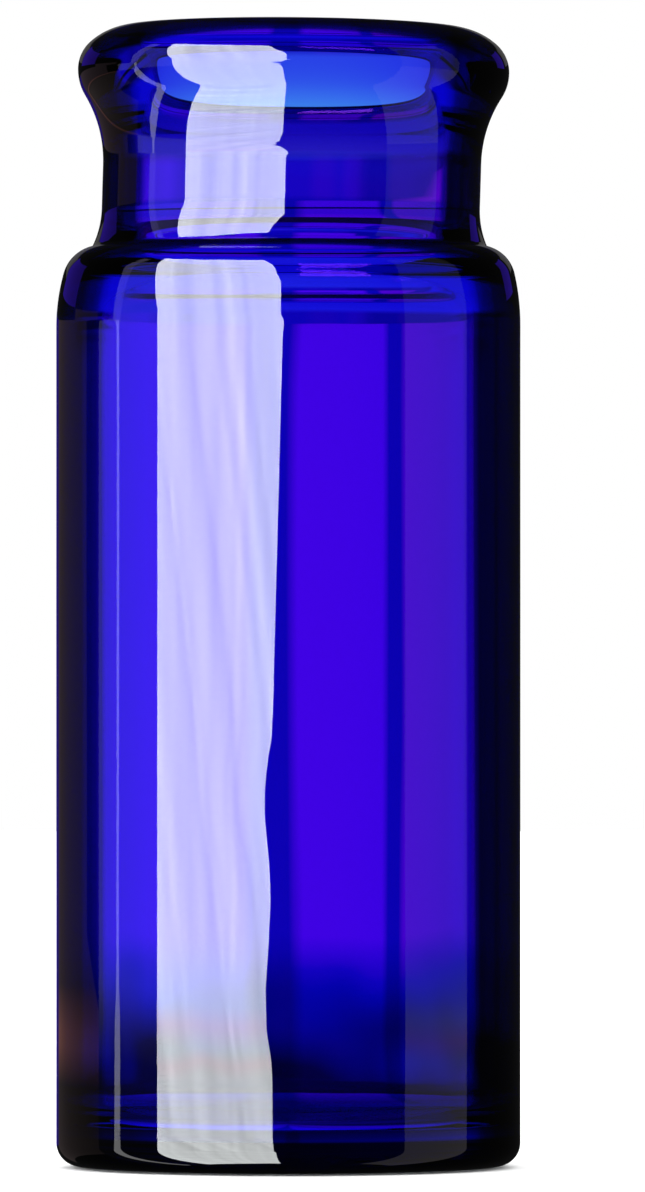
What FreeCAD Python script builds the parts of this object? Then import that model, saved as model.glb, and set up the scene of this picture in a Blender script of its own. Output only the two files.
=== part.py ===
"""Small thick-walled glass bottle with a flared, fire-polished lip.

One piece of glass, open at the mouth.  The section through its wall is drawn once, on the XZ
plane, and turned about Z.  Millimetres; +Z up the axis; the origin is the centre of the base.
"""
import FreeCAD, Part
import os
from math import atan2, cos, dist, radians, sin, sqrt

import Sketcher

GLASS = "glass_bottle"

SIZES = {
    # outside, from the base up
    "overall_height": 68.7,
    "body_radius": 14.0,
    "heel_round": 1.4,
    "shoulder_height": 50.6,         # where the straight side ends
    "shoulder_sweep": 13.0,          # slow curve at the top of the side
    "shoulder_round": 2.2,           # quick curve that turns in over the shoulder
    "crease_radius": 11.9,           # crisp line where the shoulder meets the neck
    "crease_height": 55.4,
    "neck_root_round": 5.5,
    "neck_radius": 11.4,
    "flare_round": 8.0,              # neck opening out under the lip
    "lip_under_round": 3.0,
    "lip_radius": 13.0,
    "lip_edge_round": 2.2,
    "lip_crown_round": 4.0,
    "mouth_round": 0.7,
    # inside, from the mouth down
    "mouth_radius": 8.9,
    "inner_neck_round": 3.0,         # bore opening out under the neck
    "inner_shoulder_round": 3.5,
    "inner_shoulder_height": 50.9,   # where the inner side becomes straight
    "inner_radius": 11.25,
    "floor_round": 1.6,
    "floor_height": 2.45,
    # underside
    "punt_radius": 9.8,              # shallow hollow inside the ring that the bottle stands on
    "punt_height": 0.5,
}

START, END, CENTRE = 1, 2, 3         # a sketch edge's own points
AXIS_LINE, BASE_LINE = -2, -1        # the sketch's vertical and horizontal axes


# ---------------------------------------------------------------- small geometry

def along(centre, radius, angle):
    """The point of a circle at an angle."""
    return centre[0] + radius * cos(angle), centre[1] + radius * sin(angle)


def leg(long_side, other):
    """The third side of a right triangle."""
    return sqrt(long_side**2 - other**2)


def angle_to(centre, end):
    return atan2(end[1] - centre[1], end[0] - centre[0])


# ---------------------------------------------------------------- the document

def make_sheet(doc):
    """The driving dimensions, one row each, with the name as the cell's alias."""
    sheet = doc.addObject("Spreadsheet::Sheet", "Sizes")
    for row, (name, value) in enumerate(SIZES.items(), start=1):
        sheet.set(f"A{row}", name)
        sheet.set(f"B{row}", str(value))
        sheet.setAlias(f"B{row}", name)
    doc.recompute()
    return sheet


class Outline:
    """A closed chain of lines and arcs in a sketch, each starting where the last one ended."""

    def __init__(self, sketch, start):
        self.sketch = sketch
        self.here = start
        self.chain = []              # (edge, the point it starts at, the point it ends at)

    def line(self, end):
        edge = Part.LineSegment(FreeCAD.Vector(*self.here), FreeCAD.Vector(*end))
        index = self.sketch.addGeometry(edge)
        self.chain.append((index, START, END))
        self.here = end
        return index

    def arc(self, centre, end, anticlockwise=True):
        low, high = (self.here, end) if anticlockwise else (end, self.here)
        circle = Part.Circle(FreeCAD.Vector(*centre), FreeCAD.Vector(0, 0, 1), dist(centre, end))
        edge = Part.ArcOfCircle(circle, angle_to(centre, low), angle_to(centre, high))
        index = self.sketch.addGeometry(edge)
        self.chain.append((index, START, END) if anticlockwise else (index, END, START))
        self.here = end
        return index

    def join(self, corners):
        """Joins each edge to the next, smoothly except after the edges in corners."""
        following = self.chain[1:] + self.chain[:1]
        for (edge, _, last), (after, first, _) in zip(self.chain, following):
            kind = "Coincident" if edge in corners else "Tangent"
            self.sketch.addConstraint(Sketcher.Constraint(kind, edge, last, after, first))

    def fix(self, kind, *where):
        """A constraint with no size of its own."""
        self.sketch.addConstraint(Sketcher.Constraint(kind, *where))

    def bind(self, kind, *where, size):
        """A constraint whose size is a cell of the sheet."""
        constraint = Sketcher.Constraint(kind, *where, SIZES[size])
        index = self.sketch.addConstraint(constraint)
        self.sketch.setExpression(f"Constraints[{index}]", f"Sizes.{size}")


# ---------------------------------------------------------------- the wall's section

def draw_outside(outline):
    """Underside, side, shoulder, neck and lip, up to the crest of the lip."""
    s = SIZES
    heel = (s["body_radius"] - s["heel_round"], s["heel_round"])
    sweep = (s["body_radius"] - s["shoulder_sweep"], s["shoulder_height"])
    lean = radians(14)               # where the slow shoulder curve hands over to the quick one
    turn = along(sweep, s["shoulder_sweep"] - s["shoulder_round"], lean)
    crease = (s["crease_radius"], s["crease_height"])
    root_x = s["neck_radius"] + s["neck_root_round"]
    root = (root_x, crease[1] + leg(s["neck_root_round"], root_x - crease[0]))
    crown_x = s["mouth_radius"] + s["mouth_round"]
    crown = (crown_x, s["overall_height"] - s["lip_crown_round"])
    edge_x = s["lip_radius"] - s["lip_edge_round"]
    edge = (edge_x, crown[1] + leg(s["lip_crown_round"] - s["lip_edge_round"], edge_x - crown_x))
    under = (s["lip_radius"] - s["lip_under_round"], edge[1])
    flare_x = s["neck_radius"] + s["flare_round"]
    flare = (flare_x, under[1] - leg(s["flare_round"] + s["lip_under_round"], flare_x - under[0]))

    parts = {}
    punt_drop = (s["punt_radius"]**2 - s["punt_height"]**2) / (2 * s["punt_height"])
    parts["punt"] = outline.arc((0, -punt_drop), (s["punt_radius"], 0), anticlockwise=False)
    parts["ring"] = outline.line((heel[0], 0))
    parts["heel"] = outline.arc(heel, (s["body_radius"], heel[1]))
    parts["side"] = outline.line((s["body_radius"], sweep[1]))
    parts["sweep"] = outline.arc(sweep, along(sweep, s["shoulder_sweep"], lean))
    parts["shoulder"] = outline.arc(turn, crease)
    parts["root"] = outline.arc(root, (s["neck_radius"], root[1]), anticlockwise=False)
    parts["neck"] = outline.line((s["neck_radius"], flare[1]))
    meeting = along(flare, s["flare_round"], angle_to(flare, under))
    parts["flare"] = outline.arc(flare, meeting, anticlockwise=False)
    parts["under"] = outline.arc(under, (s["lip_radius"], under[1]))
    parts["edge"] = outline.arc(edge, along(edge, s["lip_edge_round"], angle_to(crown, edge)))
    parts["crown"] = outline.arc(crown, (crown_x, s["overall_height"]))
    return parts


def draw_inside(outline):
    """Mouth, bore, inner shoulder, inner side and floor, down to the axis."""
    s = SIZES
    mouth = (s["mouth_radius"] + s["mouth_round"], s["overall_height"] - s["mouth_round"])
    shoulder = (s["inner_radius"] - s["inner_shoulder_round"], s["inner_shoulder_height"])
    neck_x = s["mouth_radius"] + s["inner_neck_round"]
    reach = s["inner_neck_round"] + s["inner_shoulder_round"]
    neck = (neck_x, shoulder[1] + leg(reach, neck_x - shoulder[0]))
    corner = (s["inner_radius"] - s["floor_round"], s["floor_height"] + s["floor_round"])

    parts = {}
    parts["mouth"] = outline.arc(mouth, (s["mouth_radius"], mouth[1]))
    parts["bore"] = outline.line((s["mouth_radius"], neck[1]))
    meeting = along(neck, s["inner_neck_round"], angle_to(neck, shoulder))
    parts["inner_neck"] = outline.arc(neck, meeting)
    side_top = (s["inner_radius"], shoulder[1])
    parts["inner_shoulder"] = outline.arc(shoulder, side_top, anticlockwise=False)
    parts["inner_side"] = outline.line((s["inner_radius"], corner[1]))
    parts["corner"] = outline.arc(corner, (corner[0], s["floor_height"]), anticlockwise=False)
    parts["floor"] = outline.line((0, s["floor_height"]))
    parts["axis"] = outline.line((0, s["punt_height"]))
    return parts


def size_outside(outline, parts):
    radii = {"heel": "heel_round", "sweep": "shoulder_sweep", "shoulder": "shoulder_round",
             "root": "neck_root_round", "flare": "flare_round", "under": "lip_under_round",
             "edge": "lip_edge_round", "crown": "lip_crown_round"}
    for part, size in radii.items():
        outline.bind("Radius", parts[part], size=size)
    outline.fix("PointOnObject", parts["punt"], CENTRE, AXIS_LINE)
    outline.bind("DistanceX", BASE_LINE, START, parts["ring"], START, size="punt_radius")
    outline.bind("DistanceY", BASE_LINE, START, parts["punt"], END, size="punt_height")
    outline.fix("PointOnObject", parts["ring"], START, BASE_LINE)
    outline.fix("Horizontal", parts["ring"])
    outline.fix("Vertical", parts["side"])
    outline.bind("DistanceX", BASE_LINE, START, parts["side"], START, size="body_radius")
    outline.bind("DistanceY", BASE_LINE, START, parts["side"], END, size="shoulder_height")
    outline.bind("DistanceX", BASE_LINE, START, parts["shoulder"], END, size="crease_radius")
    outline.bind("DistanceY", BASE_LINE, START, parts["shoulder"], END, size="crease_height")
    outline.fix("Vertical", parts["neck"])
    outline.bind("DistanceX", BASE_LINE, START, parts["neck"], START, size="neck_radius")
    outline.fix("Horizontal", parts["under"], CENTRE, parts["under"], END)
    outline.bind("DistanceX", BASE_LINE, START, parts["under"], END, size="lip_radius")
    outline.fix("Vertical", parts["crown"], CENTRE, parts["crown"], END)
    outline.bind("DistanceY", BASE_LINE, START, parts["crown"], END, size="overall_height")


def size_inside(outline, parts):
    radii = {"mouth": "mouth_round", "inner_neck": "inner_neck_round",
             "inner_shoulder": "inner_shoulder_round", "corner": "floor_round"}
    for part, size in radii.items():
        outline.bind("Radius", parts[part], size=size)
    outline.fix("Vertical", parts["bore"])
    outline.bind("DistanceX", BASE_LINE, START, parts["bore"], START, size="mouth_radius")
    outline.fix("Vertical", parts["inner_side"])
    outline.bind("DistanceX", BASE_LINE, START, parts["inner_side"], START, size="inner_radius")
    side_top = parts["inner_side"], START
    outline.bind("DistanceY", BASE_LINE, START, *side_top, size="inner_shoulder_height")
    outline.fix("Horizontal", parts["floor"])
    outline.bind("DistanceY", BASE_LINE, START, parts["floor"], END, size="floor_height")
    outline.fix("PointOnObject", parts["axis"], START, AXIS_LINE)
    outline.fix("Vertical", parts["axis"])


def draw_wall(sketch):
    outline = Outline(sketch, (0, SIZES["punt_height"]))
    outside = draw_outside(outline)
    inside = draw_inside(outline)
    corners = [outside["punt"], outside["shoulder"], inside["floor"], inside["axis"]]
    outline.join(corners)
    size_outside(outline, outside)
    size_inside(outline, inside)


# ---------------------------------------------------------------- the piece

def make_glass(doc):
    """The whole bottle: the wall's section turned once about the axis."""
    body = doc.addObject("PartDesign::Body", GLASS)
    body.Label = GLASS
    planes = {plane.Role: plane for plane in body.Origin.OriginFeatures}
    sketch = body.newObject("Sketcher::SketchObject", "wall_section")
    sketch.AttachmentSupport = (planes["XZ_Plane"], [""])
    sketch.MapMode = "FlatFace"
    draw_wall(sketch)
    doc.recompute()

    turned = body.newObject("PartDesign::Revolution", "turned_wall")
    turned.Profile = sketch
    turned.ReferenceAxis = (sketch, ["V_Axis"])
    turned.Angle = 360
    body.Placement = FreeCAD.Placement()
    doc.recompute()
    return body


def check(doc, body):
    """Stops on anything that failed, and on a section that isn't fully sized."""
    for item in doc.Objects:
        if {"Invalid", "Error"} & set(item.State):
            raise RuntimeError(f"{item.Name} is {item.State}")
    if not doc.getObject("wall_section").FullyConstrained:
        raise RuntimeError("the wall's section isn't fully sized")
    shape = body.Shape
    if shape.isNull() or not shape.isValid() or len(shape.Solids) != 1:
        raise RuntimeError(f"{body.Label} is not one sound solid")
    box = shape.optimalBoundingBox()
    print(body.Label, "volume", round(shape.Volume, 1), "faces", len(shape.Faces))
    print("box", [round(v, 3) for v in (box.XMin, box.XMax, box.YMin, box.YMax, box.ZMin, box.ZMax)])


def main():
    doc = FreeCAD.newDocument("bottle")
    make_sheet(doc)
    glass = make_glass(doc)
    check(doc, glass)
    os.makedirs("parts", exist_ok=True)
    glass.Shape.exportStep(f"parts/{GLASS}.step")


main()
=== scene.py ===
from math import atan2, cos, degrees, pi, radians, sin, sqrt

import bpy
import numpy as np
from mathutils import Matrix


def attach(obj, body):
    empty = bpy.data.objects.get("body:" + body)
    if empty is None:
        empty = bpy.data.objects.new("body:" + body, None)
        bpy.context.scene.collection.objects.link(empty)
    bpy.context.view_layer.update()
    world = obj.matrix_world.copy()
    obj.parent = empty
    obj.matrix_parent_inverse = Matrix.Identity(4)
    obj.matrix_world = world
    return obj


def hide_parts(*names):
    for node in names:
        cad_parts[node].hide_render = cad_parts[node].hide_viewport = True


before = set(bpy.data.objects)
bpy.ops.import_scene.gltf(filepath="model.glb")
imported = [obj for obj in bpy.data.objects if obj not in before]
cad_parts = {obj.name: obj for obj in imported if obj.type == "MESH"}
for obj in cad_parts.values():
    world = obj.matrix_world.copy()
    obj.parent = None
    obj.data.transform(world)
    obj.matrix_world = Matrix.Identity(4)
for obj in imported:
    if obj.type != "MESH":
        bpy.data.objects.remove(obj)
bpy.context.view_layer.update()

# %% [markdown]
# # A cobalt glass bottle, turned as one surface
# A wide-mouthed pharmacy bottle is one skin of blue glass: a tube with a closed foot, a soft
# shoulder, a short neck and a rolled lip. It could be pieced together from cylinders and tori,
# but light passes through every surface of glass, so a hidden overlap would show as a ring. One
# closed surface, worked out with numpy, is cleaner. Lengths below are in millimetres, as on the
# drawing, and are scaled to metres once, when the mesh is made.

MM = 0.001

# %% [markdown]
# ## The section of the wall
# A glassmaker's gauge shows half of the bottle cut down the middle. All its bends are arcs that
# touch their neighbours, because molten glass has no corners. Splines would also do, but with
# arcs every bend keeps a radius that can be read off and checked.


# %% Arcs, lines and the triangle rule
def leg(longest, other):
    """The third side of a right triangle: the root of longest squared less other squared."""
    return sqrt(longest * longest - other * other)


def bearing(centre, point):
    """The angle in degrees at which point is seen from centre."""
    return degrees(atan2(point[1] - centre[1], point[0] - centre[0]))


def arc(centre, radius, first, last, rows):
    """Points on a circle: the centre plus the radius times cosine and sine of a swept angle."""
    angle = np.radians(np.linspace(first, last, rows))
    return np.column_stack([centre[0] + radius * np.cos(angle), centre[1] + radius * np.sin(angle)])


def straight(first, last, rows):
    """Points between two ends, the ends themselves left out: a weighted mean of the two."""
    share = np.linspace(0, 1, rows + 2)[1:-1, None]
    return np.array(first) * (1 - share) + np.array(last) * share


# %% Foot, body and shoulder, seen from outside, from the middle of the foot upwards
# The last number of each arc or straight is its count of rows.
HEIGHT = 68.7
BODY = 13.99
HEEL = 1.4
PUNT = 9.8
PUNT_RISE = 0.5
SHOULDER = 50.6
SWEEP = 13.0
TURN = 2.2
TURN_START = 14.165
CREASE = (11.9, 55.4)

punt_radius = (PUNT**2 + PUNT_RISE**2) / (2 * PUNT_RISE)
punt_centre = (0, PUNT_RISE - punt_radius)
heel_centre = (BODY - HEEL, HEEL)
sweep_centre = (BODY - SWEEP, SHOULDER)
reach = SWEEP - TURN
turn_centre = (
    sweep_centre[0] + reach * cos(radians(TURN_START)),
    sweep_centre[1] + reach * sin(radians(TURN_START)),
)
foot_rows = [
    arc(punt_centre, punt_radius, 90, bearing(punt_centre, (PUNT, 0)), 14)[1:],
    straight((PUNT, 0), (BODY - HEEL, 0), 3),
    arc(heel_centre, HEEL, -90, 0, 16),
]
body_rows = [
    straight((BODY, HEEL), (BODY, SHOULDER), 60),
    arc(sweep_centre, SWEEP, 0, TURN_START, 12),
    arc(turn_centre, TURN, TURN_START, bearing(turn_centre, CREASE), 20)[1:-1],
]
print("The shoulder turns about", np.round(turn_centre, 2))

# %% Neck and lip, seen from outside
NECK = 11.4
ROOT = 5.5
FLARE = 8.0
UNDER = 3.0
LIP = 13.0
EDGE = 2.2
CROWN = 4.0
CREST = 9.6
THROAT = 8.9
ROLL = 1.2

root_centre = (NECK + ROOT, CREASE[1] + leg(ROOT, NECK + ROOT - CREASE[0]))
roll_x = THROAT + ROLL
crown_z = HEIGHT - ROLL - leg(CROWN - ROLL, roll_x - CREST)
crown_centre = (CREST, crown_z)
edge_centre = (LIP - EDGE, crown_z + leg(CROWN - EDGE, LIP - EDGE - CREST))
under_centre = (LIP - UNDER, edge_centre[1])
flare_x = NECK + FLARE
flare_centre = (flare_x, under_centre[1] - leg(FLARE + UNDER, flare_x - under_centre[0]))
roll_centre = (roll_x, HEIGHT - ROLL)
roll_start = bearing(crown_centre, roll_centre)
neck_rows = [
    arc(root_centre, ROOT, bearing(root_centre, CREASE), -180, 14),
    straight((NECK, root_centre[1]), (NECK, flare_centre[1]), 6),
    arc(flare_centre, FLARE, 180, bearing(flare_centre, under_centre), 20),
    arc(under_centre, UNDER, bearing(under_centre, flare_centre), 0, 14)[1:],
    arc(edge_centre, EDGE, 0, bearing(crown_centre, edge_centre), 18)[1:],
    arc(crown_centre, CROWN, bearing(crown_centre, edge_centre), roll_start, 18)[1:],
]
outer = np.vstack(foot_rows + body_rows + neck_rows)
print("Outer rows", len(outer), "widest lip at", round(edge_centre[1], 2))

# %% [markdown]
# ## The inside
# The mouth is narrowest just under the crest, where the lip was rolled over in the flame. Below
# it the bore is a little wider. That slim waist acts as a lens: it throws the line of sight up and
# out of the mouth, so the lip glows with an oval of sky that the body below never shows.

# %% Inner rows, from the crest down to the floor
BEAD = 4.0
BORE = 9.4
BORE_ROOT = 3.0
INNER_TURN = 3.5
INNER_TURN_Z = 50.9
HOLLOW = 11.25
CORNER = 1.6
FLOOR = 2.45

bead_centre = (BORE - BEAD, roll_centre[1] - leg(BEAD + ROLL, roll_x - BORE + BEAD))
bead_start = bearing(bead_centre, roll_centre)
inner_turn = (HOLLOW - INNER_TURN, INNER_TURN_Z)
bore_x = BORE + BORE_ROOT
bore_root = (bore_x, INNER_TURN_Z + leg(BORE_ROOT + INNER_TURN, bore_x - inner_turn[0]))
corner_centre = (HOLLOW - CORNER, FLOOR + CORNER)
inner = np.vstack([
    arc(roll_centre, ROLL, roll_start, 180 + bead_start, 22)[1:],
    arc(bead_centre, BEAD, bead_start, 0, 22)[1:],
    straight((BORE, bead_centre[1]), (BORE, bore_root[1]), 14),
    arc(bore_root, BORE_ROOT, 180, bearing(bore_root, inner_turn) % 360, 16),
    arc(inner_turn, INNER_TURN, bearing(inner_turn, bore_root), 0, 18)[1:],
    straight((HOLLOW, INNER_TURN_Z), (HOLLOW, corner_centre[1]), 60),
    arc(corner_centre, CORNER, 0, -90, 18),
    straight((corner_centre[0], FLOOR), (0, FLOOR), 30),
])
print("Inner rows", len(inner), "wall of the body", round(BODY - HOLLOW, 2))

# %% [markdown]
# ## The hand in the glass
# Glass that is shaped hot is never quite round. Here the neck leans by a third of a millimetre,
# the lip dips a little to one side, and the inner wall waves by a hundredth of a millimetre, which
# is enough to soften the bands seen through it. The outer skin has waves a quarter of that size,
# so that straight highlights wander a little. Noise would look like frost, so a few slow waves are
# added up instead, and each kind fades in and out over its own zone.


# %% Slow waves
def ease(low, high, value):
    """A soft step from nought to one: three times the square less twice the cube of the share."""
    share = np.clip((value - low) / (high - low), 0, 1)
    return share * share * (3 - 2 * share)


def within(zone, value):
    """One inside a zone and nought outside: it rises between the zone's first two numbers and
    falls between its last two."""
    return ease(zone[0], zone[1], value) * (1 - ease(zone[2], zone[3], value))


def waves(angle, height, table):
    """A sum of sines round the bottle: size times the sine of turns times angle plus twist."""
    total = np.zeros_like(angle)
    for size, turns, twist, start in table:
        total = total + size * np.sin(turns * angle + twist * height + start)
    return total


# %% Sizes of the waves and where they act
SKIN_WAVES = [(0.003, 7, 0.08, 0.0), (0.002, 13, -0.05, 1.0)]
WALL_WAVES = [(0.012, 3, 0.05, 1.0), (0.006, 5, -0.07, 2.0), (0.003, 11, 0.04, 0.0)]
FOOT_WAVES = [(0.001, 9, 0.35, 0.5), (0.001, 17, -0.6, 1.4), (0.002, 4, 1.1, 0)]
WALL_ZONE = (2.5, 8, 46, 54)
FOOT_ZONE = (2.5, 4, 6, 14)
OFF_AXIS = (5, 6)
RING_ZONE = (0.5, 3, 9, 10)
RING_REACH = 0.5
RING_SIZE = 0.05
RING_PACE = 2.1
RING_SWAY = 0.4
LEAN = 0.32
LEAN_ZONE = (50, 66)
DIP = 0.008
DIP_ZONE = (60, 67)
AROUND = 240
print("Largest wave", max(size for size, *rest in WALL_WAVES), "mm, lean", LEAN, "mm")


# %% The section carried round and bent
def uneven(section, inside):
    """Carries a section round the axis and bends it: the angle goes round once, the row goes along
    the section, and slow waves, a lean and a dip are added to radius, x and height."""
    angle = np.linspace(0, 2 * pi, AROUND, endpoint=False)[None, :] + 0 * section[:, :1]
    radius = section[:, :1] + 0 * angle
    height = section[:, 1:] + 0 * angle
    off_axis = ease(*OFF_AXIS, radius)
    wall = within(WALL_ZONE, height) * off_axis
    if inside:
        # The floor's rings stop at a small reach above it, so the inner wall has none.
        foot = within(FOOT_ZONE, height) * off_axis
        ring = RING_SIZE * np.sin(RING_PACE * radius + RING_SWAY * np.sin(2 * angle))
        on_floor = height < FLOOR + RING_REACH
        ripple = ring * within(RING_ZONE, radius) * on_floor
        radius = radius + waves(angle, height, WALL_WAVES) * wall + waves(angle, height, FOOT_WAVES) * foot
        height = height + ripple
    else:
        radius = radius - np.abs(waves(angle, height, SKIN_WAVES)) * wall
    x = radius * np.cos(angle) + LEAN * ease(*LEAN_ZONE, height)
    y = radius * np.sin(angle)
    height = height - DIP * (x + LIP - LEAN) * ease(*DIP_ZONE, height)
    return np.stack([x, y, height], -1) * MM


outer_grid = uneven(outer, False)
inner_grid = uneven(inner, True)
print("Grid", outer_grid.shape, "and", inner_grid.shape)

# %% [markdown]
# ## One closed mesh
# The two grids are stacked into a single sheet that runs from the middle of the foot, up the
# outside, over the lip and down to the middle of the floor. Each grid cell is a square face, and
# a fan of triangles closes each pole. A number kept on every vertex says which skin it is on.


# %% Faces of the turned sheet
def sheet_faces(rows, around):
    """Squares between neighbouring rows and columns, and a fan of triangles at each end."""
    start = np.arange(rows - 1)[:, None] * around
    here = np.arange(around)[None, :]
    beside = (here + 1) % around
    above = start + around
    squares = np.stack([start + here, start + beside, above + beside, above + here], -1)
    last = (rows - 1) * around
    pole = rows * around
    low_fan = np.stack([0 * here[0] + pole, beside[0], here[0]], -1)
    top_fan = np.stack([last + here[0], last + beside[0], 0 * here[0] + pole + 1], -1)
    return squares.reshape(-1, 4).tolist() + low_fan.tolist() + top_fan.tolist()


def new_object(name, vertices, faces):
    """Puts a mesh into the scene with smooth faces and hands back its object."""
    mesh = bpy.data.meshes.new(name)
    mesh.from_pydata(np.asarray(vertices).tolist(), [], faces)
    mesh.polygons.foreach_set("use_smooth", np.ones(len(mesh.polygons), bool))
    mesh.update()
    made = bpy.data.objects.new(name, mesh)
    bpy.context.scene.collection.objects.link(made)
    return made


# %% The bottle
grid = np.concatenate([outer_grid, inner_grid])
poles = np.array([[0, 0, PUNT_RISE], [0, 0, FLOOR]]) * MM
bottle = new_object(
    "bottle_glass",
    np.vstack([grid.reshape(-1, 3), poles]),
    sheet_faces(len(grid), AROUND),
)
skin = np.repeat(np.r_[np.ones(len(outer)), np.zeros(len(inner))], AROUND)
mark = bottle.data.attributes.new("skin", "FLOAT", "POINT")
mark.data.foreach_set("value", np.append(skin, [1, 0]).astype(np.float32))
print("Bottle faces", len(bottle.data.polygons))

# %% [markdown]
# ## Cobalt glass
# Cobalt lets blue through, takes most of the red and nearly all of the green, and does so inside
# the glass: a thick foot is darker than a thin neck. A coloured surface would miss that, so the
# surface is clear and the volume absorbs. That alone leaves the edges and the foot bright blue,
# because no dark card stands beside or below this bottle. Two tints on the outer skin, where light
# comes in, stand in for the card: they are painted shade and painted highlights. They are a
# shortcut, fitted to the front view, and not a property of cobalt glass. One is painted shade that
# blackens the glass where it turns away from the eye. The other goes by height: painted shade in
# the standing ring, low on the foot and in two dim belts in the neck, and two painted bright
# threads low on the foot.


# %% Small helpers for node trees
def add(tree, kind, **values):
    """Adds a node of a kind and sets its plain properties."""
    made = tree.nodes.new(kind)
    for name, value in values.items():
        setattr(made, name, value)
    return made


def maths(tree, operation, first, second=0.0):
    """One Math node whose inputs are sockets or plain numbers."""
    made = add(tree, "ShaderNodeMath", operation=operation)
    for slot, value in enumerate((first, second)):
        if isinstance(value, (int, float)):
            made.inputs[slot].default_value = value
        else:
            tree.links.new(value, made.inputs[slot])
    return made.outputs[0]


def ramp(tree, value, low, high, stops):
    """A colour ramp whose stops are given in the value's own units between low and high."""
    share = maths(tree, "DIVIDE", maths(tree, "SUBTRACT", value, low), high - low)
    made = add(tree, "ShaderNodeValToRGB")
    dots = made.color_ramp.elements
    dots.remove(dots[-1])
    for order, (place, colour) in enumerate(stops):
        dot = dots[0] if order == 0 else dots.new((place - low) / (high - low))
        dot.position = (place - low) / (high - low)
        dot.color = (*colour, 1)
    tree.links.new(share, made.inputs[0])
    return made.outputs[0]


def blend(tree, share, first, second, kind="MIX"):
    """Mixes two colours, each a socket or three numbers, by a share."""
    made = add(tree, "ShaderNodeMix", data_type="RGBA", blend_type=kind)
    for slot, value in ((0, share), (6, first), (7, second)):
        if isinstance(value, (int, float)):
            made.inputs[slot].default_value = value
        elif isinstance(value, tuple):
            made.inputs[slot].default_value = (*value, 1)
        else:
            tree.links.new(value, made.inputs[slot])
    return made.outputs[2]


# %% Surface of the glass
WHITE = (1.0, 1.0, 1.0)
# Painted shade: the base colour goes black where the surface turns away from the eye, standing in for a
# dark card beside the bottle.
EDGE_PAINTED_SHADE = [
    (0.0, WHITE),
    (0.38, WHITE),
    (0.41, (0.50, 0.50, 0.60)),
    (0.44, (0.02, 0.05, 0.10)),
    (0.47, (0.001, 0.004, 0.03)),
    (0.55, (0.0001, 0.0002, 0.002)),
    (0.80, (0.0, 0.0, 0.0)),
    (0.95, (0.001, 0.0002, 0.004)),
]
# Painted shade and painted highlights by height: black in the standing ring and low on the foot, two
# painted bright threads low on the foot, and two painted dim belts in the neck.
RING_PAINTED_SHADE = (0.0003, 0.0003, 0.0006)
THREAD_PAINTED_HIGHLIGHT = (0.15, 0.9, 0.9)
SLAB_PAINTED_SHADE = (0.001, 0.02, 0.02)
LOW_BELT_PAINTED_SHADE = (0.10, 0.2, 0.65)
HIGH_BELT_PAINTED_SHADE = (0.8, 0.08, 0.4)
HEIGHT_PAINTED_SHADE_AND_HIGHLIGHTS = [
    (0.0, RING_PAINTED_SHADE),
    (2.00, (0.0003, 0.0003, 0.001)),
    (2.35, THREAD_PAINTED_HIGHLIGHT),
    (2.75, THREAD_PAINTED_HIGHLIGHT),
    (3.00, SLAB_PAINTED_SHADE),
    (3.80, SLAB_PAINTED_SHADE),
    (3.95, (0.001, 0.12, 0.07)),
    (4.20, (0.0003, 0.02, 0.012)),
    (4.80, (0.02, 0.10, 0.15)),
    (5.60, WHITE),
    (56.5, WHITE),
    (56.8, LOW_BELT_PAINTED_SHADE),
    (57.7, LOW_BELT_PAINTED_SHADE),
    (58.0, WHITE),
    (60.0, WHITE),
    (60.5, HIGH_BELT_PAINTED_SHADE),
    (62.8, HIGH_BELT_PAINTED_SHADE),
    (63.2, WHITE),
]
INDEX = 1.52
glass = bpy.data.materials.new("cobalt_glass")
glass.use_nodes = True
tree = glass.node_tree
tree.nodes.clear()
body_shader = add(tree, "ShaderNodeBsdfPrincipled")
body_shader.inputs["Roughness"].default_value = 0.0
body_shader.inputs["IOR"].default_value = INDEX
body_shader.inputs["Transmission Weight"].default_value = 1.0
facing = add(tree, "ShaderNodeLayerWeight")
facing.inputs["Blend"].default_value = 0.5
edge_painted_shade = ramp(tree, facing.outputs["Facing"], 0.0, 1.0, EDGE_PAINTED_SHADE)
place = add(tree, "ShaderNodeTexCoord")
axes = add(tree, "ShaderNodeSeparateXYZ")
tree.links.new(place.outputs["Object"], axes.inputs[0])
height_mm = maths(tree, "DIVIDE", axes.outputs["Z"], MM)
height_painted_shade_and_highlights = ramp(tree, height_mm, 0.0, HEIGHT, HEIGHT_PAINTED_SHADE_AND_HIGHLIGHTS)
side = add(tree, "ShaderNodeNewGeometry")
skin_mark = add(tree, "ShaderNodeAttribute", attribute_name="skin")
entering = maths(tree, "SUBTRACT", 1.0, side.outputs["Backfacing"])
on_skin = maths(tree, "MULTIPLY", entering, skin_mark.outputs["Fac"])
# The painted shade and painted highlights multiply the base colour only where light enters the outer skin.
painted_shade_and_highlights = blend(tree, 1.0, edge_painted_shade, height_painted_shade_and_highlights, "MULTIPLY")
tree.links.new(blend(tree, on_skin, WHITE, painted_shade_and_highlights), body_shader.inputs["Base Color"])
print("Surface nodes", len(tree.nodes))

# %% What the volume takes away, per metre of glass
ABSORBED = np.array([600.0, 1150.0, 60.0])
DENSITY = 1250.0
volume = add(tree, "ShaderNodeVolumeAbsorption")
volume.inputs["Color"].default_value = (*(1 - ABSORBED / DENSITY), 1)
volume.inputs["Density"].default_value = DENSITY
result = add(tree, "ShaderNodeOutputMaterial")
tree.links.new(body_shader.outputs[0], result.inputs["Surface"])
tree.links.new(volume.outputs[0], result.inputs["Volume"])
bottle.data.materials.append(glass)
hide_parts("glass_bottle")
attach(bottle, "root")
print("Light left after a body wall", np.round(np.exp(-ABSORBED * (BODY - HOLLOW) * MM), 3))

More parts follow.
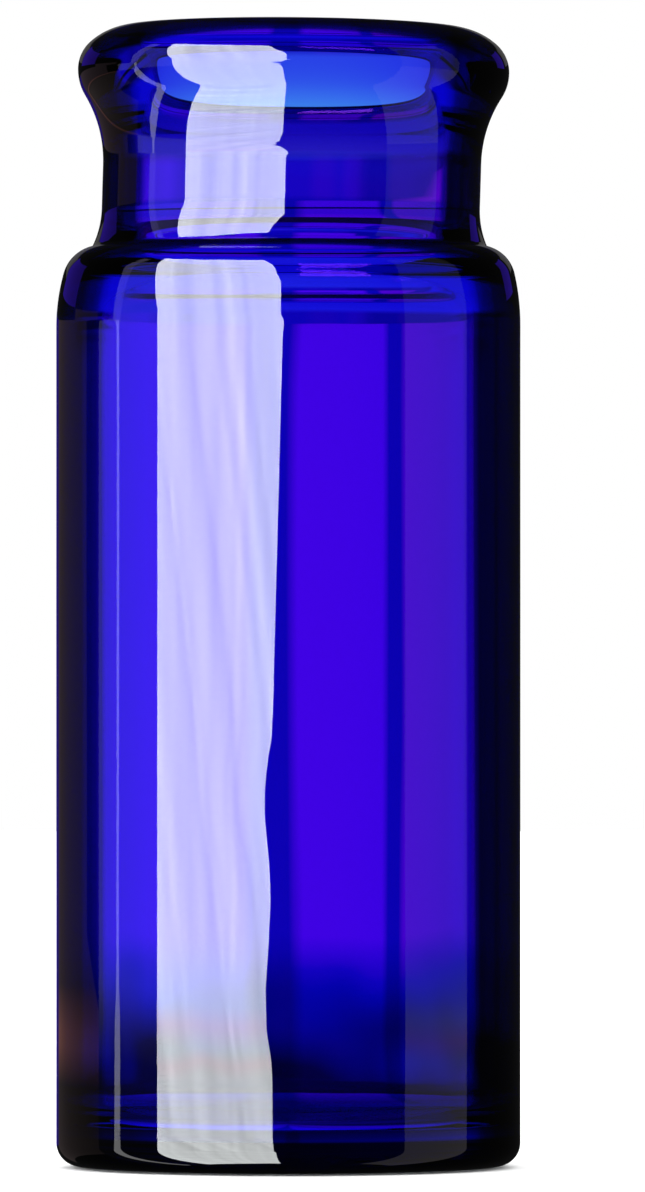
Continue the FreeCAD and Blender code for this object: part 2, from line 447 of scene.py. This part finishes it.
# %% [markdown]
# ## A pale floor
# The bottle stands on white paper, which takes its faint contact shadow. A flat disc is enough,
# because a curved sweep would never be seen. The floor is left out of what the glass reflects and
# bends, because its far edge would draw a false horizon through the bottle.


# %% Floor
def annulus(name, inner_radius, outer_radius, height, steps):
    """A flat ring: two circles of points at one height joined by squares, facing up."""
    turn = np.linspace(0, 2 * pi, steps, endpoint=False)
    circle = np.column_stack([np.cos(turn), np.sin(turn), 0 * turn])
    lift = np.array([0, 0, height])
    points = np.vstack([circle * inner_radius + lift, circle * outer_radius + lift])
    here = np.arange(steps)
    beside = (here + 1) % steps
    faces = np.stack([here, here + steps, beside + steps, beside], -1)
    return new_object(name, points, faces.tolist())


def plain(name, colour):
    """A matt material of one colour for things around the bottle."""
    made = bpy.data.materials.new(name)
    made.use_nodes = True
    shader = made.node_tree.nodes["Principled BSDF"]
    shader.inputs["Base Color"].default_value = (*colour, 1)
    shader.inputs["Roughness"].default_value = 0.9
    return made


PAPER_HOLE = 0.0005
PAPER_EDGE = 2.0
PAPER_DROP = 0.0001
PAPER_STEPS = 96
PAPER_WHITE = (0.9, 0.9, 0.9)
floor = annulus("floor", PAPER_HOLE, PAPER_EDGE, -PAPER_DROP, PAPER_STEPS)
floor.data.materials.append(plain("white_sweep", PAPER_WHITE))
floor.visible_glossy = False
floor.visible_transmission = False
print("Floor radius", PAPER_EDGE)

# %% [markdown]
# ## The room, as each kind of ray sees it
# A product photographer hides black card and bright paper where only the glass can see them. A
# world shader can do the same: the background and floor see white, mirror reflections see a dark
# room, and light that passes through the glass sees a backdrop in upright bands.


# %% A world that sorts its rays
world = bpy.data.worlds.new("studio")
bpy.context.scene.world = world
world.use_nodes = True
sky = world.node_tree
sky.nodes.clear()
rays = add(sky, "ShaderNodeLightPath")


def light(colour, strength):
    """A Background node with a colour, plain or linked, and a strength."""
    made = add(sky, "ShaderNodeBackground")
    made.inputs["Strength"].default_value = strength
    if isinstance(colour, tuple):
        made.inputs["Color"].default_value = (*colour, 1)
    else:
        sky.links.new(colour, made.inputs["Color"])
    return made.outputs[0]


def choose(ray, otherwise, then):
    """Uses one shader for one kind of ray and another for the rest."""
    made = add(sky, "ShaderNodeMixShader")
    sky.links.new(rays.outputs[ray], made.inputs[0])
    sky.links.new(otherwise, made.inputs[1])
    sky.links.new(then, made.inputs[2])
    return made.outputs[0]


# %% [markdown]
# ### Upright bands behind the bottle
# Through a round wall the glass shows its backdrop squeezed and turned about, so a plain one would
# give a flat blue tube. Coloured cards stood side by side give the upright stripes of a real studio
# picture. Here they are stops of one ramp along the bearing, in degrees from straight behind, which
# is easier to shift than a row of cards.

# %% The backdrop as the body sees it
SIDE = 75
AZURE_LEFT = (1.30, 3.20, 1.30)
VIOLET = (1.38, 0.20, 1.09)
GAP = (0.05, 0.02, 0.60)
MAGENTA = (2.00, 0.30, 0.85)
GREY = (0.50, 0.50, 0.55)
BANDS = [
    (-SIDE, GREY),
    (-60, GREY),
    (-52, (0.40, 0.40, 0.50)),
    (-36, AZURE_LEFT),
    (-12, AZURE_LEFT),
    (-2.1, VIOLET),
    (-1.8, GAP),
    (0.20, GAP),
    (0.35, VIOLET),
    (5.5, VIOLET),
    (5.8, GAP),
    (7.1, GAP),
    (7.5, MAGENTA),
    (25, MAGENTA),
    (31, (0.10, 0.10, 0.35)),
    (50, (0.02, 0.02, 0.07)),
    (60, (0.30, 0.30, 0.30)),
    (SIDE, GREY),
]
direction = add(sky, "ShaderNodeTexCoord")
parts = add(sky, "ShaderNodeSeparateXYZ")
sky.links.new(direction.outputs["Generated"], parts.inputs[0])
turned = maths(sky, "DEGREES", maths(sky, "ARCTAN2", parts.outputs["X"], parts.outputs["Y"]))
low_bands = ramp(sky, turned, -SIDE, SIDE, BANDS)
print("Bands", len(BANDS))

# %% [markdown]
# ### What the neck sees
# The neck looks at the backdrop a little higher up than the body does, where it is darker and
# bluer. One ramp could not serve both, so the neck has its own, and the slope of the light chooses
# between them.

# %% The backdrop as the neck sees it
NECK_LEFT = (0.60, 1.10, 1.05)
NECK_BLUE = (0.05, 0.05, 0.64)
NECK_VIOLET = (0.22, 0.05, 0.66)
NECK_GAP = (0.02, 0.02, 0.42)
NECK_MAUVE = (0.16, 0.20, 0.42)
NECK_BANDS = [
    (-SIDE, GREY),
    (-60, (0.02, 0.02, 0.05)),
    (-32, (0.02, 0.10, 0.20)),
    (-23, NECK_LEFT),
    (-12, NECK_LEFT),
    (-7, NECK_BLUE),
    (0.8, NECK_BLUE),
    (1.4, NECK_VIOLET),
    (2.2, NECK_BLUE),
    (3.2, NECK_VIOLET),
    (4.3, NECK_GAP),
    (6.6, NECK_GAP),
    (7.2, NECK_MAUVE),
    (20, NECK_MAUVE),
    (26, (0.02, 0.02, 0.10)),
    (50, (0.02, 0.02, 0.05)),
    (SIDE, GREY),
]
high_bands = ramp(sky, turned, -SIDE, SIDE, NECK_BANDS)
print("Neck bands", len(NECK_BANDS))

# %% [markdown]
# ### From the table to the open sky
# A dark table edge behind the bottle makes the body fade to black above the foot, and a strong
# blue-green sky overhead is what glows azure through the mouth, where white paper would glow
# violet. Both could be cards, but with a ramp along the slope, in degrees above the level, the
# fade keeps its soft edge.

# %% Slopes and shares of the backdrop
TOP = 12
NEAR_TABLE = (0.85, 0.85, 0.90)
TABLE_EDGE = (0.01, 0.03, 0.04)
RISE = [
    (-TOP, NEAR_TABLE),
    (-4.0, NEAR_TABLE),
    (-3.2, TABLE_EDGE),
    (-1.95, TABLE_EDGE),
    (-1.85, (0.01, 0.05, 0.07)),
    (-1.76, (0.01, 0.10, 0.17)),
    (-1.64, (0.01, 0.20, 0.25)),
    (-1.51, (0.01, 0.32, 0.38)),
    (-1.33, (0.02, 0.42, 0.62)),
    (-1.24, (0.40, 0.80, 0.82)),
    (-1.14, WHITE),
]
AZURE_HIGH = (0.20, 4.0, 0.95)
BLACK = (0.0, 0.0, 0.0)
NECK_STARTS = [(2.10, BLACK), (2.35, WHITE)]
SKY_STARTS = [(5.5, BLACK), (10.5, WHITE)]
tilt = maths(sky, "DEGREES", maths(sky, "ARCSINE", parts.outputs["Z"]))
rise = ramp(sky, tilt, -TOP, TOP, RISE)
neck_share = ramp(sky, tilt, -TOP, TOP, NECK_STARTS)
above = ramp(sky, tilt, -TOP, TOP, SKY_STARTS)
bands = blend(sky, neck_share, low_bands, high_bands)
backdrop = blend(sky, above, blend(sky, 1.0, bands, rise, "MULTIPLY"), AZURE_HIGH)
print("Slopes", len(RISE))

# %% White paper in front, pale grey round the sides
ASIDE = [(30, BLACK), (60, WHITE)]
SHADE = [(0, WHITE), (5, (0.80, 0.82, 0.85))]
aside = ramp(sky, maths(sky, "ABSOLUTE", turned), 0, 180, ASIDE)
shade = ramp(sky, tilt, -TOP, TOP, SHADE)
paper = blend(sky, aside, WHITE, shade)
print("Paper greys past", ASIDE[0][0], "degrees")

# %% One answer for each kind of ray
FLOOR_LIGHT = 2.0
DARK_ROOM = 0.01
BACKDROP_LIGHT = 1.1
PAPER_LIGHT = 1.0
seen = choose("Is Glossy Ray", light(WHITE, FLOOR_LIGHT), light(WHITE, DARK_ROOM))
seen = choose("Is Transmission Ray", seen, light(backdrop, BACKDROP_LIGHT))
seen = choose("Is Camera Ray", seen, light(paper, PAPER_LIGHT))
sky_out = add(sky, "ShaderNodeOutputWorld")
sky.links.new(seen, sky_out.inputs[0])
print("World nodes", len(sky.nodes))

# %% [markdown]
# ## Cards that the glass reflects
# The long highlights are what sells glass. Each one is a tall light sheet standing round the
# bottle: its bearing sets where the highlight falls, and its top edge sets how far it climbs the
# shoulder and the lip. Area lights would do for plain boxes, but a sheet worked out on a grid can
# have a slanting edge, a cut corner and a streaky cloth. Only mirror reflections see the cards.


# %% A light sheet on a grid
CARD_DISTANCE = 0.5


def light_sheet(name, left_edge, right_edge, low, high, rows=440, columns=16):
    """A sheet round the bottle: the bearing is mixed between the left and right edges, the slope
    runs from low to high, and both are turned to a point at the card distance. Bearings are in
    degrees to the left of the line from the bottle to the camera."""
    slope = np.linspace(low, high, rows)[:, None]
    across = np.linspace(0, 1, columns)[None, :]
    left = np.interp(slope, *zip(*left_edge))
    right = np.interp(slope, *zip(*right_edge))
    turn = np.radians(left * (1 - across) + right * across)
    lift = np.radians(slope + 0 * across)
    points = np.stack([-np.sin(turn) * np.cos(lift), -np.cos(turn) * np.cos(lift), np.sin(lift)], -1)
    start = np.arange(rows - 1)[:, None] * columns
    here = np.arange(columns - 1)[None, :]
    corner = start + here
    over = corner + columns
    faces = np.stack([corner, corner + 1, over + 1, over], -1)
    made = new_object(name, points.reshape(-1, 3) * CARD_DISTANCE, faces.reshape(-1, 4).tolist())
    charts = made.data.uv_layers.new(name="UVMap")
    share = np.stack([across + 0 * slope, slope + 0 * across], -1).reshape(-1, 2)
    corners = np.empty(len(made.data.loops), int)
    made.data.loops.foreach_get("vertex_index", corners)
    charts.data.foreach_set("uv", share[corners].ravel())
    for ray in ("camera", "diffuse", "transmission", "shadow", "volume_scatter"):
        setattr(made, "visible_" + ray, False)
    return made


def plumb(turn):
    """An edge that keeps one bearing at every slope."""
    return [(-90, turn), (90, turn)]


# %% Light on a sheet
FOLD_TOP = 7.5
FOLD_DETAIL = 2.0
NOISE_MIDDLE = 0.5


def glow(made, radiance, tint, folds=(), bands=()):
    """Makes a sheet shine. The radiance is scaled by folds of the cloth, each one a row of slow
    noise over the share across plus a slant times the slope, up to the slope where they hang
    straight. The tint may change with slope."""
    cloth = bpy.data.materials.new(made.name)
    cloth.use_nodes = True
    cloth.cycles.emission_sampling = "NONE"
    nodes = cloth.node_tree
    nodes.nodes.clear()
    lamp = add(nodes, "ShaderNodeEmission")
    lamp.inputs["Color"].default_value = (*tint, 1)
    lamp.inputs["Strength"].default_value = radiance
    chart = add(nodes, "ShaderNodeTexCoord")
    share = add(nodes, "ShaderNodeSeparateXYZ")
    nodes.links.new(chart.outputs["UV"], share.inputs[0])
    strength = radiance
    reach = maths(nodes, "MINIMUM", share.outputs["Y"], FOLD_TOP)
    for count, slant, depth in folds:
        across = maths(nodes, "ADD", share.outputs["X"], maths(nodes, "MULTIPLY", reach, slant))
        noise = add(nodes, "ShaderNodeTexNoise", noise_dimensions="1D")
        noise.inputs["Scale"].default_value = 1.0
        noise.inputs["Detail"].default_value = FOLD_DETAIL
        nodes.links.new(maths(nodes, "MULTIPLY", across, count), noise.inputs["W"])
        change = maths(nodes, "SUBTRACT", noise.outputs["Fac"], NOISE_MIDDLE)
        swing = maths(nodes, "MULTIPLY", change, depth)
        strength = maths(nodes, "MULTIPLY", maths(nodes, "ADD", swing, 1.0), strength)
        nodes.links.new(strength, lamp.inputs["Strength"])
    if bands:
        colour = ramp(nodes, share.outputs["Y"], bands[0][0], bands[-1][0], bands)
        nodes.links.new(colour, lamp.inputs["Color"])
    end = add(nodes, "ShaderNodeOutputMaterial")
    nodes.links.new(lamp.outputs[0], end.inputs[0])
    made.data.materials.append(cloth)
    print(made.name, "radiance", radiance)


# %% [markdown]
# ### The softbox
# The broad white stripe is a softbox to the left of the camera. A ready-made area light has four
# straight sides, and the real one leans, bulges and is partly hidden by its stand. So each of its
# edges is a short list of slope and bearing, both in degrees, and the cloth gets a few soft folds.

# %% The softbox, with its slanting edge and cut corner
LEFT_EDGE = [(-60, 68), (-6, 67), (12, 67), (50, 82)]
RIGHT_EDGE = [
    (-60, 5.7),
    (-10, 5.7),
    (-4, 7.0),
    (-1.0, 7.6),
    (-0.6, 10.5),
    (-0.1, 11.0),
    (0.4, 9.6),
    (1.0, 8.4),
    (1.5, 9.6),
    (2.0, 11.8),
    (2.5, 10.6),
    (2.9, 7.6),
    (3.3, 6.8),
    (8.2, 1.8),
    (9.5, 3.5),
    (26, 3.5),
    (50, 16),
]
FOLDS = [(11.0, 0.0, 0.45), (6.0, 0.088, 0.75)]
PALE = (0.98, 1.0, 1.0)
FOOT_SHEEN = [
    (-4.0, (0.93, 0.97, 0.97)),
    (-1.1, (0.93, 0.97, 0.97)),
    (-0.95, (1.0, 0.90, 0.93)),
    (-0.80, (0.88, 0.97, 1.0)),
    (-0.55, (1.0, 0.90, 0.92)),
    (-0.30, (0.88, 0.97, 1.0)),
    (0.3, PALE),
    (4.0, PALE),
]
SOFTBOX_LIGHT = 12.5
BOTTOM = -62
softbox = light_sheet("softbox", LEFT_EDGE, RIGHT_EDGE, BOTTOM, 48)
glow(softbox, SOFTBOX_LIGHT, PALE, FOLDS, FOOT_SHEEN)

# %% [markdown]
# ### Strips beside the softbox
# Walls and stands that catch a little light make the faint upright panels on both sides, and a thin
# bright line beside the softbox marks its frame. They could be one dim room, but then their crisp
# edges, which show how smooth the glass is, would be lost.

# %% A dim strip on the right
STRIP_LIGHT = 0.15
STRIP_SHEEN = [
    (-4.0, (2.4, 2.2, 2.2)),
    (-1.15, (2.2, 2.1, 2.1)),
    (-0.95, (2.4, 2.4, 2.4)),
    (-0.75, (3.6, 2.3, 2.1)),
    (-0.50, (2.6, 2.7, 2.3)),
    (-0.25, (1.7, 1.9, 1.7)),
    (0.3, WHITE),
    (4.0, WHITE),
]
strip = light_sheet("strip", plumb(-59), plumb(-98.5), BOTTOM, 45)
glow(strip, STRIP_LIGHT, WHITE, (), STRIP_SHEEN)

# %% A veil on the left, and a thin line in front of it
VEIL_LIGHT = 0.30
VEIL_LEFT = [(-60, 107), (8.4, 107), (9.0, 96), (45, 96)]
VEIL_RIGHT = [(-60, 67), (12, 67), (45, 80)]
VEIL_SHEEN = [
    (-2.0, (0.08, 0.08, 0.08)),
    (-1.0, (0.12, 0.12, 0.12)),
    (-0.1, WHITE),
    (4.0, WHITE),
]
veil = light_sheet("veil", VEIL_LEFT, VEIL_RIGHT, BOTTOM, 38)
glow(veil, VEIL_LIGHT, WHITE, (), VEIL_SHEEN)
LINE_LIGHT = 2.0
NEARER = 0.98
LINE_LEFT = [(-60, 96.0), (-10, 96.0), (-0.6, 94.6), (0.0, 93.3), (8.2, 93.3), (9, 95.5), (45, 97)]
LINE_RIGHT = [(-60, 90.0), (-10, 90.0), (-0.6, 90.8), (0.0, 91.6), (8.2, 91.6), (9, 90.5), (45, 90)]
LINE_DIM = (0.28, 0.25, 0.38)
LINE_SHEEN = [(8.3, WHITE), (9.0, LINE_DIM), (45, LINE_DIM)]
line = light_sheet("line", LINE_LEFT, LINE_RIGHT, BOTTOM, 45)
line.data.transform(Matrix.Scale(NEARER, 4))
glow(line, LINE_LIGHT, WHITE, (), LINE_SHEEN)

# %% [markdown]
# ### Dim light from behind
# At its very edges round glass mirrors what stands behind it. Left black, the outline would look
# cut out with scissors, so a warm dim card, a few violet ones and a faint high one give it life.

# %% The warm card
WARM_LIGHT = 0.075
WARM_LEFT = [(-20, 161), (8.4, 161), (8.8, 131), (11.3, 131)]
WARM_RIGHT = [(-20, 107), (-0.4, 107), (0.5, 118), (8.6, 118), (8.8, 108), (11.3, 108)]
WARM_SHEEN = [
    (-3.0, (1.0, 0.80, 0.80)),
    (-1.3, (0.8, 0.65, 0.65)),
    (-0.85, (3.6, 1.60, 1.40)),
    (-0.65, (3.6, 1.60, 1.40)),
    (-0.1, (1.0, 0.72, 0.85)),
    (3.0, (1.0, 0.72, 0.85)),
]
warm = light_sheet("warm", WARM_LEFT, WARM_RIGHT, -20, 11.3)
glow(warm, WARM_LIGHT, WHITE, (), WARM_SHEEN)

# %% Violet cards for the edges, each with its bearings, slopes and light, and one high card
VIOLET_GLOW = (0.10, 0.04, 1.0)
EDGES = [
    ("edge_left", 132, 156, 11.5, 24, 0.5),
    ("edge_right", -153, -140, 11.5, 24, 0.5),
    ("edge_low", 161, 176, -3, 8.4, 0.25),
]
for name, near, away, low, high, radiance in EDGES:
    sheet = light_sheet(name, plumb(away), plumb(near), low, high)
    glow(sheet, radiance, VIOLET_GLOW)
FAR_LIGHT = 0.12
FAR_TINT = (1.0, 0.97, 0.97)
far = light_sheet("far", plumb(203), plumb(157), 13, 22)
glow(far, FAR_LIGHT, FAR_TINT)

# %% [markdown]
# ## The camera
# A long lens from two thirds of a metre keeps the bottle's sides upright. It stands level, a
# little below the middle of the bottle, and the picture is shifted up rather than tilted, so that
# upright lines stay upright.

# %% Lens, place and shift
AWAY = 0.66
VIEW_HEIGHT = 71.87 * MM
CAMERA_X = 2.06 * MM
CAMERA_Z = 26.86 * MM
VIEW_MIDDLE = 34.34 * MM
SENSOR = 36.0
NEAREST = 0.01
FARTHEST = 10.0
lens = bpy.data.cameras.new("camera")
lens.sensor_width = SENSOR
lens.lens = SENSOR * AWAY / VIEW_HEIGHT
lens.shift_y = (VIEW_MIDDLE - CAMERA_Z) / VIEW_HEIGHT
lens.clip_start = NEAREST
lens.clip_end = FARTHEST
camera = bpy.data.objects.new("camera", lens)
camera.location = (CAMERA_X, -AWAY, CAMERA_Z)
camera.rotation_euler = (radians(90), 0, 0)
bpy.context.scene.collection.objects.link(camera)
bpy.context.scene.camera = camera
bpy.context.scene.view_settings.view_transform = "Standard"
print("Lens", round(lens.lens), "mm, shift", round(lens.shift_y, 3))
